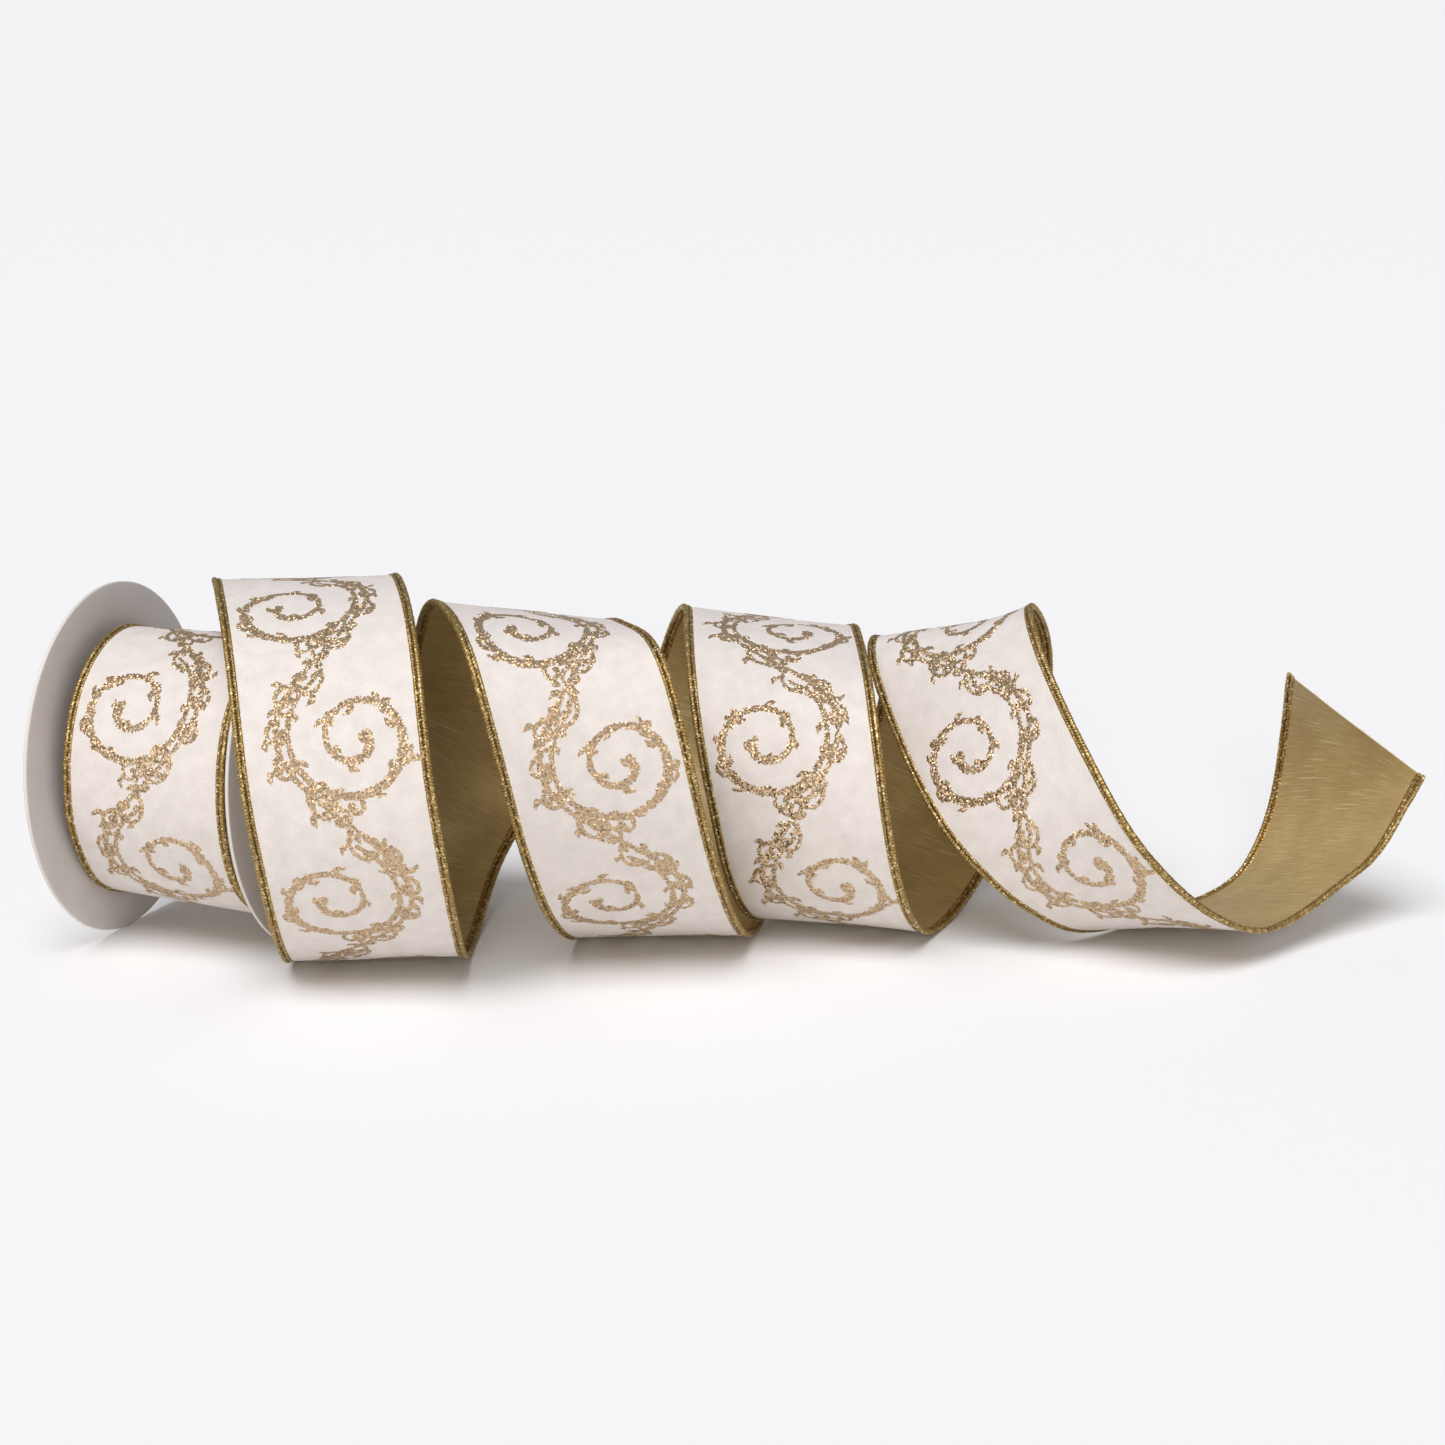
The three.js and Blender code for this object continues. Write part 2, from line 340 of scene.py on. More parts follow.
class Shader:
    """A Principled material and its nodes."""

    def __init__(self, name, **sockets):
        self.material = bpy.data.materials.new(name)
        self.material.use_nodes = True
        self.tree = self.material.node_tree
        self.surface = self.tree.nodes["Principled BSDF"]
        for socket, value in sockets.items():
            self.surface.inputs[self.socket(socket)].default_value = value

    @staticmethod
    def socket(name):
        return "Specular IOR Level" if name == "specular" else name.replace("_", " ").title()

    def node(self, kind, inputs=(), **settings):
        node = self.tree.nodes.new("ShaderNode" + kind)
        for key, value in settings.items():
            setattr(node, key, value)
        for key, value in dict(inputs).items():
            if isinstance(value, bpy.types.NodeSocket):
                self.tree.links.new(value, node.inputs[key])
            else:
                node.inputs[key].default_value = value
        return node

    def strip(self, *scale):
        """Ribbon coordinates in millimetres, stretched by a factor each way."""
        place = self.node("Attribute", attribute_name="strip").outputs["Vector"]
        return self.scaled(place, scale) if scale else place

    def scaled(self, vector, scale):
        return self.node("VectorMath", {0: vector, 1: scale}, operation="MULTIPLY").outputs["Vector"]

    def noise(self, vector, scale, detail=2.0, roughness=0.5):
        return self.node("TexNoise", {
            "Vector": vector, "Scale": scale, "Detail": detail, "Roughness": roughness,
        }).outputs["Fac"]

    def math(self, operation, a, b=0.0):
        return self.node("Math", {0: a, 1: b}, operation=operation).outputs[0]

    def spread(self, value, low, high, to_low=0.0, to_high=1.0):
        return self.node("MapRange", {
            "Value": value, "From Min": low, "From Max": high, "To Min": to_low, "To Max": to_high,
        }).outputs["Result"]

    def mix(self, share, a, b):
        node = self.node("Mix", {0: share}, data_type="RGBA")
        for index, value in ((6, a), (7, b)):
            if isinstance(value, bpy.types.NodeSocket):
                self.tree.links.new(value, node.inputs[index])
            else:
                node.inputs[index].default_value = (*value, 1)
        return node.outputs[2]

    def bump(self, height, strength, distance, normal=None):
        inputs = {"Height": height, "Strength": strength, "Distance": distance}
        if normal is not None:
            inputs["Normal"] = normal
        return self.node("Bump", inputs).outputs["Normal"]

    def set(self, **links):
        for socket, value in links.items():
            self.tree.links.new(value, self.surface.inputs[self.socket(socket)])
        return self.material


def velvet():
    """White velvety face: a short nap that lies in soft patches."""
    m = Shader("velvet_face", roughness=0.92, sheen_weight=0.2, sheen_roughness=0.45, specular=0.15)
    patches = m.noise(m.strip(), 0.16, 3)
    pile = m.noise(m.strip(), 1.7, 4, 0.7)
    colour = m.mix(m.spread(patches, 0.3, 0.7), (0.685, 0.64, 0.605), (0.77, 0.72, 0.685))
    colour = m.mix(m.spread(pile, 0.45, 0.75, 0, 0.4), colour, (0.58, 0.53, 0.475))
    return m.set(base_color=colour, normal=m.bump(pile, 0.6, 0.00025))


def dupioni():
    """Gold slubbed backing: threads across the ribbon, some of them thicker and lighter, over fine warp lines."""
    m = Shader("gold_dupioni", metallic=0.3, specular=0.3)
    weft = m.noise(m.strip(2.6, 0.10, 0), 1.0, 3, 0.65)
    slub = m.noise(m.strip(2.4, 0.045, 0), 1.0, 2, 0.6)
    slub = m.spread(slub, 0.62, 0.70)
    warp = m.noise(m.strip(0.22, 2.6, 0), 1.0, 2)
    cloudy = m.noise(m.strip(0.05, 0.07, 0), 1.0, 2)
    colour = m.mix(m.spread(weft, 0.3, 0.7), (0.40, 0.285, 0.11), (0.65, 0.505, 0.235))
    colour = m.mix(m.spread(warp, 0.35, 0.75, 0, 0.3), colour, (0.36, 0.26, 0.12))
    colour = m.mix(m.spread(cloudy, 0.35, 0.65, 0, 0.5), colour, (0.38, 0.265, 0.12))
    colour = m.mix(m.math("MULTIPLY", slub, 0.7), colour, (0.88, 0.77, 0.52))
    height = m.math("ADD", m.math("ADD", weft, m.math("MULTIPLY", warp, 0.6)), slub)
    return m.set(
        base_color=colour,
        roughness=m.spread(weft, 0.3, 0.7, 0.50, 0.36),
        normal=m.bump(height, 0.45, 0.0002),
    )


def gold_thread():
    """Metallic overlock thread, with painted shade between the stitches and in the groove between the two rows, painted
    dark flecks, and painted glints where single filaments would catch the light.
    """
    m = Shader("gold_thread", metallic=0.7)
    relief = m.node("Attribute", attribute_name="relief").outputs["Fac"]
    filament = m.noise(m.strip(1.6, 3.0, 3.0), 1.0, 3, 0.7)
    cell = m.node("TexVoronoi", {"Vector": m.strip(), "Scale": 1.6}).outputs["Color"]
    cell = m.node("SeparateColor", {0: cell})
    tone = m.noise(m.strip(0.07, 0.3, 0), 1.0, 2)
    place = m.node("SeparateXYZ", {0: m.strip()}).outputs
    inner_row = m.math("LESS_THAN", m.math("ABSOLUTE", place[1]), GROOVE)
    inner_back = m.math("MULTIPLY", inner_row, m.math("LESS_THAN", place[2], -0.15))
    colour = m.mix(inner_back, (0.56, 0.385, 0.13), (0.55, 0.30, 0.06))
    # painted shade: the thread is darkened to near black where relief is low, in the troughs between the stitches and
    # in the groove between the two rows
    colour = m.mix(m.spread(relief, 0.2, 0.9), (0.04, 0.021, 0.005), colour)
    colour = m.mix(m.spread(filament, 0.4, 0.7, 0, 0.75), colour, (0.18, 0.105, 0.025))
    colour = m.mix(m.spread(tone, 0.35, 0.7, 0, 0.4), colour, (0.40, 0.225, 0.05))
    # painted dark flecks and painted glints: random filaments are coloured near black, as if turned from the light, or
    # pale gold, as if catching it
    colour = m.mix(m.spread(cell.outputs[1], 0.7, 0.85, 0, 0.5), colour, (0.07, 0.038, 0.009))
    colour = m.mix(m.spread(cell.outputs[0], 0.80, 0.95, 0, 0.8), colour, (0.90, 0.74, 0.40))
    return m.set(
        base_color=colour,
        roughness=m.spread(filament, 0.3, 0.7, 0.30, 0.5),
        normal=m.bump(filament, 0.7, 0.00015),
    )


def glitter():
    """Gold glitter set in binder: each flake faces its own way."""
    m = Shader("gold_glitter", metallic=0.8)
    cell = m.node("TexVoronoi", {"Vector": m.strip(), "Scale": 1.9}).outputs["Color"]
    off = m.node("VectorMath", {0: cell, 1: (0.5, 0.5, 0.5)}, operation="SUBTRACT").outputs["Vector"]
    facing = m.node("NewGeometry").outputs["Normal"]
    facing = m.node("VectorMath", {0: facing, 1: m.scaled(off, (1.3,) * 3)}, operation="ADD").outputs["Vector"]
    facing = m.node("VectorMath", {0: facing}, operation="NORMALIZE").outputs["Vector"]
    parts = m.node("SeparateColor", {0: cell})
    grain = m.noise(m.strip(), 2.2, 2, 0.6)
    colour = m.mix(parts.outputs[0], (0.485, 0.33, 0.19), (0.715, 0.535, 0.35))
    colour = m.mix(m.spread(grain, 0.5, 0.68, 0, 0.5), colour, (0.26, 0.165, 0.08))
    colour = m.mix(m.spread(parts.outputs[1], 0.82, 0.96, 0, 0.85), colour, (0.95, 0.85, 0.62))
    return m.set(base_color=colour, roughness=m.spread(parts.outputs[2], 0, 1, 0.18, 0.5), normal=facing)


def board():
    """Pale coated board: a satin sheet with faint mottling, greyer where the cut edge shows its layers."""
    m = Shader("coated_board", roughness=0.5, specular=0.4)
    place = m.node("TexCoord").outputs["Object"]
    mottle = m.noise(place, 60, 3)
    fibre = m.noise(place, 900, 2)
    relief = m.node("Attribute", attribute_name="relief").outputs["Fac"]
    colour = m.mix(m.spread(mottle, 0.3, 0.7), (0.625, 0.59, 0.575), (0.665, 0.63, 0.615))
    colour = m.mix(relief, colour, (0.70, 0.655, 0.59))
    return m.set(base_color=colour, normal=m.bump(fibre, 0.12, 0.0001, m.bump(mottle, 0.15, 0.0008)))


def kraft():
    """Brown spiral-wound board, with the seam of each wrap."""
    m = Shader("kraft_board", roughness=0.85)
    place = m.node("SeparateXYZ", {0: m.strip()}).outputs
    seam = m.math("FRACT", m.math("ADD", place[0], place[1]))
    gap = m.math("LESS_THAN", seam, 0.02)
    fibre = m.noise(m.node("TexCoord").outputs["Object"], 700, 4, 0.65)
    colour = m.mix(m.spread(fibre, 0.3, 0.7), (0.30, 0.21, 0.13), (0.42, 0.315, 0.21))
    colour = m.mix(gap, colour, (0.13, 0.085, 0.05))
    height = m.math("SUBTRACT", m.math("MULTIPLY", fibre, 0.3), gap)
    return m.set(base_color=colour, normal=m.bump(height, 0.5, 0.0003))


VELVET, DUPIONI, THREAD, GLITTER, BOARD, KRAFT = (
    velvet(), dupioni(), gold_thread(), glitter(), board(), kraft())

# ------------------------------------------------------------------------------------------ the ribbon's layers

CLOTH_COLUMNS = 18
CLOTH_STEP = 1.6  # millimetres along the ribbon


def steps_between(start, end, step):
    return np.linspace(start, end, max(int(math.ceil((end - start) / step)) + 1, 2))


BIAS_SLOPE = 0.35
BIAS_LENGTH = 105  # millimetres before the cut end


def on_the_bias(s, w):
    """Where the backing's weft lies: square to the edges, pulled askew towards the cut end."""
    return s - BIAS_SLOPE * smoothstep((s - walk[-1] + BIAS_LENGTH) / BIAS_LENGTH) * w


def cloth(name, start, end, top, bottom, material, inner_turns=None):
    """One cloth of the ribbon as a closed thin sheet.  inner_turns are the frames of the wound turns before it."""
    across = np.linspace(-CLOTH_HALF, CLOTH_HALF, CLOTH_COLUMNS)
    w = np.concatenate([across, across[::-1]])
    n = np.concatenate([np.full(CLOTH_COLUMNS, top), np.full(CLOTH_COLUMNS, bottom)])
    s = steps_between(start, end, CLOTH_STEP)
    points = on_strip(s[:, None], w[None, :], n[None, :])
    strip = np.stack(np.broadcast_arrays(on_the_bias(s[:, None], w), w[None, :], n[None, :]), -1)
    if inner_turns is not None:
        at, inner = inner_turns
        before = (inner[:, None, 0] + w[None, :, None] * inner[:, None, 2]
                  + n[None, :, None] * inner[:, None, 3])
        points = np.concatenate([before, points])
        strip = np.concatenate([np.stack(np.broadcast_arrays(
            at[:, None], w[None, :], n[None, :]), -1), strip])
    quads = rings_to_quads(len(points), len(w), False)
    return mesh_object(name, points.reshape(-1, 3), quads, material, strip.reshape(-1, 3))


# Cross-section of the overlocked edge, for the right-hand side: distance across and height, round both rows.
EDGE_PROFILE = np.array([
    [28.62, 0.44], [28.85, 0.66], [29.2, 0.76], [29.55, 0.6], [29.8, 0.36], [30.05, 0.78], [30.5, 1.02],
    [31.05, 1.0], [31.5, 0.66], [31.72, 0.18], [31.62, -0.42], [31.3, -0.85], [30.75, -1.0], [30.2, -0.84],
    [29.85, -0.32], [29.5, -0.5], [28.95, -0.62], [28.4, -0.54], [28.05, -0.26], [28.3, 0.1],
])
EDGE_STEP = STITCH_PITCH / 6


def edge(name, side, start, end, inner_turns=None):
    """One overlocked edge.  Its surface follows the single stitches, which lean over the wire."""
    profile_w, profile_n = EDGE_PROFILE[:, 0], EDGE_PROFILE[:, 1]
    on_rope = profile_w > GROOVE
    middle = np.where(on_rope, ROPE_CENTRE, STITCH_LINE)
    arm = np.stack([profile_w - middle, profile_n], -1)
    reach = np.linalg.norm(arm, axis=1)
    lean = np.where(on_rope, 0.9, 0.5) * np.arctan2(profile_n, profile_w - middle) / math.pi
    s = steps_between(start, end, EDGE_STEP)
    phase = s[:, None] / STITCH_PITCH + lean[None, :] + 0.25 * wave(s[:, None] / 9, 11 + side)
    ridge = np.abs(np.cos(math.pi * phase)) ** 0.7
    stitch = np.floor(phase + 0.5)
    uneven = 1 + 0.35 * wave(stitch * 1.7, 21 + side)
    out = (ridge * uneven - 0.72) * np.where(on_rope, 0.22, 0.16)[None, :]
    stretch = 1 + out / reach[None, :]
    w = side * (middle + arm[:, 0] * stretch)
    n = arm[:, 1] * stretch
    points = on_strip(s[:, None], w, n)
    strip = np.stack([np.broadcast_to(s[:, None], w.shape), w, n], -1)
    # relief is the mask for the thread's painted shade: low in the troughs between the stitches and in the groove
    # between the rows
    relief = ridge * np.interp(np.abs(profile_w - GROOVE), [0.08, 0.45], [0.1, 1])
    quads = rings_to_quads(len(s), len(profile_w), False)
    if inner_turns is not None:
        at, inner = inner_turns
        w0, n0 = side * profile_w, profile_n * 0.3
        before = (inner[:, None, 0] + w0[None, :, None] * inner[:, None, 2]
                  + n0[None, :, None] * inner[:, None, 3])
        before_strip = np.stack(np.broadcast_arrays(at[:, None], w0[None, :], n0[None, :]), -1)
        quads = np.concatenate([
            rings_to_quads(len(at), len(w0), False), quads + before.shape[0] * before.shape[1]])
        points, strip = np.concatenate([before, points]), np.concatenate([before_strip, strip])
        # the wound turns under the pack get an even middling painted shade
        relief = np.concatenate([np.full(before.shape[:2], 0.6), relief])
    return mesh_object(name, points.reshape(-1, 3), quads, THREAD, strip.reshape(-1, 3), relief.ravel())


# --------------------------------------------------------------------------------------------- the printed scroll

BAY = 58.0  # millimetres of ribbon to each bay of the waving stem; every second bay is mirrored
STEM_SWING = 18.0  # how far the stem waves from the ribbon's middle
SPIRAL_CENTRE = (32.0, -8.0)  # from the bay's start and from the ribbon's middle
SPIRAL_RADII = (25.0, 3.0)
SPIRAL_START = math.radians(155)
SPIRAL_TURNS = 1.8

# Tendrils of one bay: the line each grows from, how far along it, the angle it leaves at, its length and its turns.
TENDRILS = [
    ("stem", 0.06, -75, 30, 0.85), ("stem", 0.22, 60, 20, -0.9), ("stem", 0.40, 48, 19, -0.8),
    ("stem", 0.58, 55, 21, -0.9), ("stem", 0.80, 50, 26, -0.8), ("stem", 0.93, -60, 17, 0.8),
    ("spiral", 0.10, 40, 12, 0.7), ("spiral", 0.27, 55, 15, -0.8), ("spiral", 0.38, 50, 14, 0.8),
    ("spiral", 0.50, 60, 13, -0.7), ("spiral", 0.62, -50, 10, 0.7), ("spiral", 0.76, 45, 9, -0.7),
]
STEM_WIDTHS = (1.3, 1.9, 1.5, 1.3)
SPIRAL_WIDTHS = (1.2, 1.5, 2.2, 2.7, 2.0, 1.6, 3.0)
TENDRIL_WIDTHS = (1.7, 1.3, 1.1, 2.1)

PRINT_STEP = 0.45
PRINT_HEIGHT = 0.13
PRINT_SECTION = np.array([[-1, -0.06], [-0.72, 0.8], [0, 1], [0.72, 0.8], [1, -0.06], [0, -0.1]])
PRINT_LIMIT = 28.75  # the overlocking covers the rest
BOLDNESS = 1.3  # how far the glitter spreads past the drawn line
LEAF_EVERY = 9  # millimetres of stem to each leaflet


def curve_through(points, step):
    """Evenly spaced points of a smooth curve through the given ones."""
    p = np.asarray(points, float)
    p = np.concatenate([[2 * p[0] - p[1]], p, [2 * p[-1] - p[-2]]])
    t = np.linspace(0, 1, 12, endpoint=False)[:, None]
    parts = []
    for a, b, c, d in zip(p, p[1:], p[2:], p[3:]):
        parts.append(0.5 * (2 * b + (c - a) * t + (2 * a - 5 * b + 4 * c - d) * t**2
                            + (3 * b - a - 3 * c + d) * t**3))
    fine = np.concatenate(parts + [p[-2:-1]])
    run = np.concatenate([[0], np.cumsum(np.linalg.norm(np.diff(fine, axis=0), axis=1))])
    at = np.linspace(0, run[-1], max(int(run[-1] / step) + 1, 3))
    return np.stack([np.interp(at, run, fine[:, k]) for k in range(2)], -1)


def stroke_outline(line, widths):
    """Left and right points of a stroke whose outline is as rough as glued glitter."""
    run = np.concatenate([[0], np.cumsum(np.linalg.norm(np.diff(line, axis=0), axis=1))])
    half = np.interp(run / run[-1], np.linspace(0, 1, len(widths)), widths) / 2 * BOLDNESS
    for from_end, cap in ((run, half[0]), (run[-1] - run, half[-1])):
        half = half * np.sqrt(np.clip(1 - (1 - np.clip(from_end / max(cap, 0.3), 0, 1)) ** 2, 0.02, 1))
    direction = normalised(np.gradient(line, axis=0) + 1e-9)
    side = np.stack([-direction[:, 1], direction[:, 0]], -1)
    rough = rng.uniform(-0.32, 0.32, (2, len(line)))
    pinch = np.where(rng.random(len(line)) < 0.12, 0.5, 1.0)
    left = line + side * np.maximum(half * pinch + rough[0] * np.minimum(half, 1), 0.10)[:, None]
    right = line - side * np.maximum(half * pinch + rough[1] * np.minimum(half, 1), 0.10)[:, None]
    return left, right


def leaflets(line, count):
    """Short tapering strokes that grow alternately from both sides of a stroke."""
    grown = []
    direction = normalised(np.gradient(line, axis=0) + 1e-9)
    for k in range(count):
        at = int(len(line) * (k + 0.5 + rng.uniform(-0.2, 0.2)) / count)
        at = min(max(at, 1), len(line) - 2)
        d, side = direction[at], 1 if (k % 2) else -1
        out = np.array([-d[1], d[0]]) * side
        length = rng.uniform(3.0, 5.2)
        root = line[at]
        grown.append((
            [root, root + out * length * 0.5 + d * length * 0.2, root + out * length * 0.7 + d * length * 0.75],
            (1.5, 1.9, 0.5),
        ))
    return grown


def stem():
    """Half a wave along the ribbon, from the middle out and back."""
    along = np.linspace(0, BAY, 12)
    return np.stack([along, STEM_SWING * np.sin(math.pi * along / BAY)], -1)


def spiral():
    """The large scroll that fills the hollow of the wave."""
    t = np.linspace(0, 1, 32)
    angle = SPIRAL_START - 2 * math.pi * SPIRAL_TURNS * t
    radius = SPIRAL_RADII[0] + (SPIRAL_RADII[1] - SPIRAL_RADII[0]) * t ** 0.85
    return np.array(SPIRAL_CENTRE) + radius[:, None] * np.stack([np.cos(angle), np.sin(angle)], -1)


def tendril(line, share, leave, length, turns):
    """A shoot that sets off nearly straight and curls ever tighter."""
    at = int(share * (len(line) - 1))
    ahead = line[at + 1] - line[at]
    t = np.linspace(0, 1, 14)[:, None]
    heading = math.atan2(ahead[1], ahead[0]) + math.radians(leave) + 2 * math.pi * turns * t ** 1.7
    steps = np.concatenate([np.cos(heading), np.sin(heading)], -1) * length / len(t)
    return line[at] + np.cumsum(steps, axis=0) - steps[0]


def bay_strokes():
    """The lines of one bay with their widths."""
    lines = {"stem": stem(), "spiral": spiral()}
    strokes = [(lines["stem"], STEM_WIDTHS), (lines["spiral"], SPIRAL_WIDTHS)]
    for parent, *growth in TENDRILS:
        strokes.append((tendril(curve_through(lines[parent], PRINT_STEP), *growth), TENDRIL_WIDTHS))
    return strokes


def scroll_strokes():
    """Every stroke of the print on the ribbon, as its left and right outlines in ribbon coordinates."""
    outlines = []
    strokes = bay_strokes()
    for bay in range(int(walk[0] / BAY) - 1, int(walk[-1] / BAY) + 1):
        mirror = (1, 1 if bay % 2 else -1)
        for points, widths in strokes:
            line = curve_through(points * mirror + (bay * BAY, 0), PRINT_STEP)
            outlines.append(stroke_outline(line, widths))
            run = np.linalg.norm(np.diff(line, axis=0), axis=1).sum()
            for leaf, leaf_widths in leaflets(line, int(run / LEAF_EVERY)):
                outlines.append(stroke_outline(curve_through(leaf, PRINT_STEP), leaf_widths))
    return outlines


def printed(name, start, end, outlines):
    """The part of the print that lies on one stretch, as low rounded ridges."""
    points, strips, quads, first = [], [], [], 0
    for number, (left, right) in enumerate(outlines):
        middle = (left + right) / 2
        inside = (middle[:, 0] >= start) & (middle[:, 0] <= end) & (np.abs(middle[:, 1]) < PRINT_LIMIT)
        edges = np.flatnonzero(np.diff(np.concatenate([[0], inside.astype(int), [0]])))
        for a, b in zip(edges[::2], edges[1::2]):
            if b - a < 2:
                continue
            share = (PRINT_SECTION[:, 0] + 1) / 2
            place = left[a:b, None] * (1 - share[:, None]) + right[a:b, None] * share[:, None]
            place[..., 0] = np.clip(place[..., 0], start, end)
            height = PRINT_HEIGHT * (0.85 + 0.3 * ((number * 0.618) % 1))
            n = FACE_TOP + PRINT_SECTION[:, 1] * height
            n = np.broadcast_to(n, place.shape[:2])
            points.append(on_strip(place[..., 0], place[..., 1], n).reshape(-1, 3))
            strips.append(np.concatenate([place, n[..., None]], -1).reshape(-1, 3))
            quads.append(rings_to_quads(b - a, len(PRINT_SECTION), False, first))
            first += (b - a) * len(PRINT_SECTION)
    return mesh_object(name, np.concatenate(points), np.concatenate(quads), GLITTER, np.concatenate(strips))


# ------------------------------------------------------------------------------------------------ the free ribbon

OUTLINES = scroll_strokes()


hinge = free_frames(np.array([1260.0]))[0]

# Name, first and last turn, bodies, and where a stretch between two bodies bends from one to the other.
STRETCHES = [
    ("lead_off", LEAVES_PACK, -90, ("spool", "loop_1"),
     (PACK_CENTRE + 46 * SPOOL_FRONT, PACK_CENTRE - 58 * SPOOL_FRONT)),
    ("rim_climb", -90, 0, ("loop_1",), None),
    ("loop_1_front", 0, 180, ("loop_1",), None),
    ("loop_1_back", 180, 360, ("loop_1", "loop_2"), ((0, 0, 8), (0, 0, 120))),
    ("loop_2_front", 360, 540, ("loop_2",), None),
    ("loop_2_back", 540, 720, ("loop_2", "loop_3"), ((0, 0, 8), (0, 0, 100))),
    ("loop_3_front", 720, 900, ("loop_3",), None),
    ("loop_3_back", 900, 1090, ("loop_3", "loop_4"), ((0, 0, 8), (0, 0, 84))),
    ("loop_4_front", 1090, 1260, ("loop_4",), None),
    ("tail", 1260, CUT_END, ("loop_4", "tail"), (hinge[0], hinge[0] + 38 * hinge[1])),
]


def settle(piece, bodies, bend):
    if bend is None:
        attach(piece, bodies[0])
    else:
        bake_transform(piece)


for name, first_turn, last_turn, bodies, bend in STRETCHES:
    start, end = distance_at(first_turn), distance_at(last_turn)
    face = cloth(f"{name}_face", start, end, FACE_TOP, FACE_BOTTOM, VELVET)
    back = cloth(f"{name}_backing", start, end, BACK_TOP, BACK_BOTTOM, DUPIONI)
    left = edge(f"{name}_overlock_left", -1, start, end)
    right = edge(f"{name}_overlock_right", 1, start, end)
    scroll = printed(f"{name}_scroll", start, end, OUTLINES)
    for piece in (face, back, scroll):
        settle(piece, bodies, bend)
    for piece in (left, right):
        settle(piece, bodies, bend)
    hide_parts(f"{name}_cloth")
    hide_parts(f"{name}_edge_left")
    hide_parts(f"{name}_edge_right")

# ----------------------------------------------------------------------------------------------- the wound ribbon

inner_at = np.arange(-720 - 360 * (WOUND_TURNS - 1), -720.1 + 0.1, 5.0)
inner_frames = wound_frames(inner_at)
inner_turns = (inner_at, inner_frames)
wound_start, wound_end = distance_at(-715), distance_at(LEAVES_PACK)
wound_face = cloth("wound_face", wound_start, wound_end, FACE_TOP, FACE_BOTTOM, VELVET, inner_turns)
wound_back = cloth("wound_backing", wound_start, wound_end, BACK_TOP, BACK_BOTTOM, DUPIONI, inner_turns)
wound_left = edge("wound_overlock_left", -1, wound_start, wound_end, inner_turns)
wound_right = edge("wound_overlock_right", 1, wound_start, wound_end, inner_turns)
wound_scroll = printed("wound_scroll", distance_at(-640), wound_end, OUTLINES)
for piece in (wound_face, wound_back, wound_scroll):
    settle(piece, ("spool",), None)
for piece in (wound_left, wound_right):
    settle(piece, ("spool",), None)
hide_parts("wound_cloth")
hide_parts("wound_edge_left")
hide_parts("wound_edge_right")

# ------------------------------------------------------------------------------------------------------ the spool

ROUND = 192


def turned(name, profile, material, node, relief=None, warp=0.0):
    """A ring on the spool's axis from a closed profile of radius and distance along the axis."""
    profile = np.array(profile, float)
    a = np.linspace(0, 2 * math.pi, ROUND, endpoint=False)[:, None]
    bend = warp * np.cos(2 * a + 0.7) * (profile[None, :, 0] / FLANGE_RADIUS) ** 2
    points = (
        SPOOL_CENTRE
        + (profile[None, :, 1] + bend)[..., None] * SPOOL_AXIS
        + (profile[None, :, 0] * np.sin(a))[..., None] * SPOOL_FRONT
        + (profile[None, :, 0] * np.cos(a))[..., None] * SPOOL_UP
    )
    wrap = np.stack(np.broadcast_arrays(a / (2 * math.pi), profile[None, :, 1] / 26.0, 0.0), -1)
    shade = np.broadcast_to(np.zeros(len(profile)) if relief is None else relief, points.shape[:2])
    piece = mesh_object(name, points.reshape(-1, 3), rings_to_quads(ROUND, len(profile), True), material,
                        wrap.reshape(-1, 3), shade.ravel())
    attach(piece, "spool")
    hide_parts(node)
    return piece


def flange_profile(face_inner, face_outer):
    """Board with a paper skin on both faces: the skins stand a hair proud of the core at the cut edges."""
    skin = 0.22 * np.sign(face_outer - face_inner)
    hole, rim = TUBE_RADIUS + 0.3, FLANGE_RADIUS
    return [
        (hole + 0.15, face_inner), (30, face_inner), (40, face_inner), (50, face_inner), (58, face_inner),
        (rim - 0.5, face_inner), (rim - 0.12, face_inner + skin * 0.25), (rim, face_inner + skin),
        (rim - 0.09, face_inner + skin * 1.35), (rim - 0.09, face_outer - skin * 1.35),
        (rim, face_outer - skin), (rim - 0.12, face_outer - skin * 0.25), (rim - 0.5, face_outer),
        (58, face_outer), (50, face_outer), (40, face_outer), (30, face_outer), (hole + 0.15, face_outer),
        (hole, face_outer - skin), (hole, face_inner + skin),
    ]


core_shows = np.zeros(20)
core_shows[8:10] = 1
turned("flange_left", flange_profile(0, -FLANGE_THICKNESS), BOARD, "left_flange",
       core_shows, warp=0.2)
turned("flange_right", flange_profile(FLANGE_SPACING, FLANGE_SPACING + FLANGE_THICKNESS), BOARD,
       "right_flange", core_shows, warp=-0.2)


def lip(base, outward):
    """The tube's end, rolled outwards over the flange."""
    near, far = base + outward * 1.7, base + outward * 2.9
    bulge = (near + far) / 2
    return [
        (TUBE_RADIUS, near), (23.6, near), (24.2, near + outward * 0.15), (LIP_RADIUS, bulge),
        (24.2, far - outward * 0.15), (23.6, far), (22.2, far), (20.2, far - outward * 0.05),
        (BORE_RADIUS + 0.35, far - outward * 0.2), (BORE_RADIUS, far - outward * 0.9),
    ]


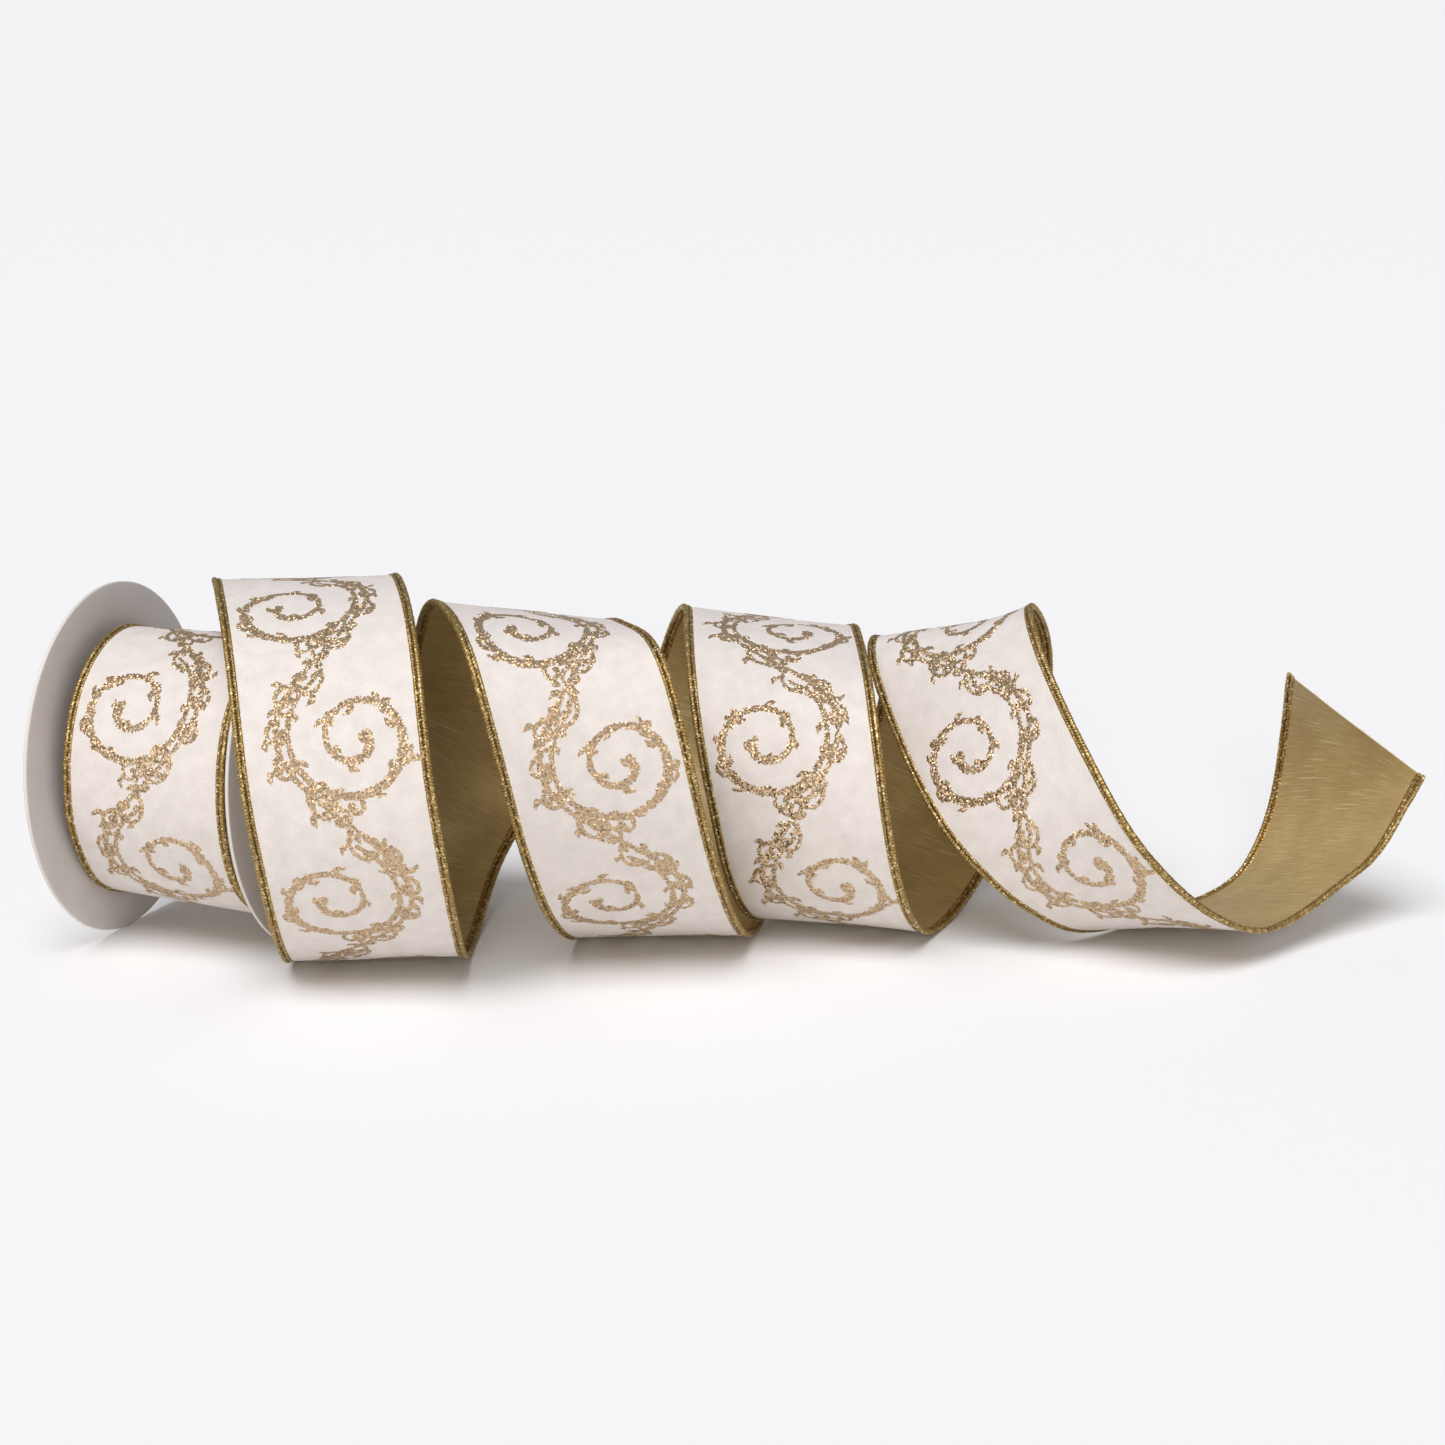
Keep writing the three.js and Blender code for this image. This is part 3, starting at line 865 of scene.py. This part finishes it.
tube_profile = (
    lip(0, -1) + [(BORE_RADIUS, 12), (BORE_RADIUS, 39), (BORE_RADIUS, 66)]
    + lip(FLANGE_SPACING, 1)[::-1] + [(TUBE_RADIUS, 66), (TUBE_RADIUS, 39), (TUBE_RADIUS, 12)]
)
turned("core", tube_profile, KRAFT, "core_tube")

# -------------------------------------------------------------------------------------- floor, lights and camera

FLOOR_SIZE = 70  # metres
SKY_STRENGTH = 0.31

bpy.ops.mesh.primitive_plane_add(size=FLOOR_SIZE, location=(0, 0, 0))
floor = bpy.context.object
floor.name = "floor"
floor.data.materials.append(Shader("floor", base_color=(0.93, 0.93, 0.93, 1), roughness=0.9).material)

world = bpy.data.worlds.new("studio")
world.use_nodes = True
world.node_tree.nodes["Background"].inputs["Color"].default_value = (1, 1, 1, 1)
world.node_tree.nodes["Background"].inputs["Strength"].default_value = SKY_STRENGTH
bpy.context.scene.world = world


def studio_light(name, strength, spread, colour, towards):
    """Even light from a far panel: it is spread degrees wide and shines towards the given direction."""
    data = bpy.data.lights.new(name, "SUN")
    data.energy, data.angle, data.color = strength, math.radians(spread), colour
    lamp = bpy.data.objects.new(name, data)
    lamp.rotation_euler = Vector(towards).to_track_quat("-Z", "Y").to_euler()
    bpy.context.scene.collection.objects.link(lamp)


studio_light("front", 0.72, 16, (1.0, 0.90, 0.74), (0.11, 1.30, -0.37))
studio_light("ceiling", 2.4, 40, (0.96, 0.955, 1.0), (0.17, 0.48, -0.86))

CAMERA_DISTANCE = 1.165
CAMERA_PITCH = math.radians(13.2)
centre = (cad_low + cad_high) / 2
target = Vector((centre.x - 0.0071, centre.y - 0.030, 0.0865))
lens = bpy.data.cameras.new("camera")
lens.sensor_width, lens.lens = 36.0, 84.7
lens.clip_start, lens.clip_end = 0.01, 100
camera = bpy.data.objects.new("camera", lens)
camera.location = target + CAMERA_DISTANCE * Vector((0, -math.cos(CAMERA_PITCH), math.sin(CAMERA_PITCH)))
camera.rotation_euler = (math.pi / 2 - CAMERA_PITCH, 0, 0)
bpy.context.scene.collection.objects.link(camera)
bpy.context.scene.camera = camera
bpy.context.scene.view_settings.view_transform = "Standard"
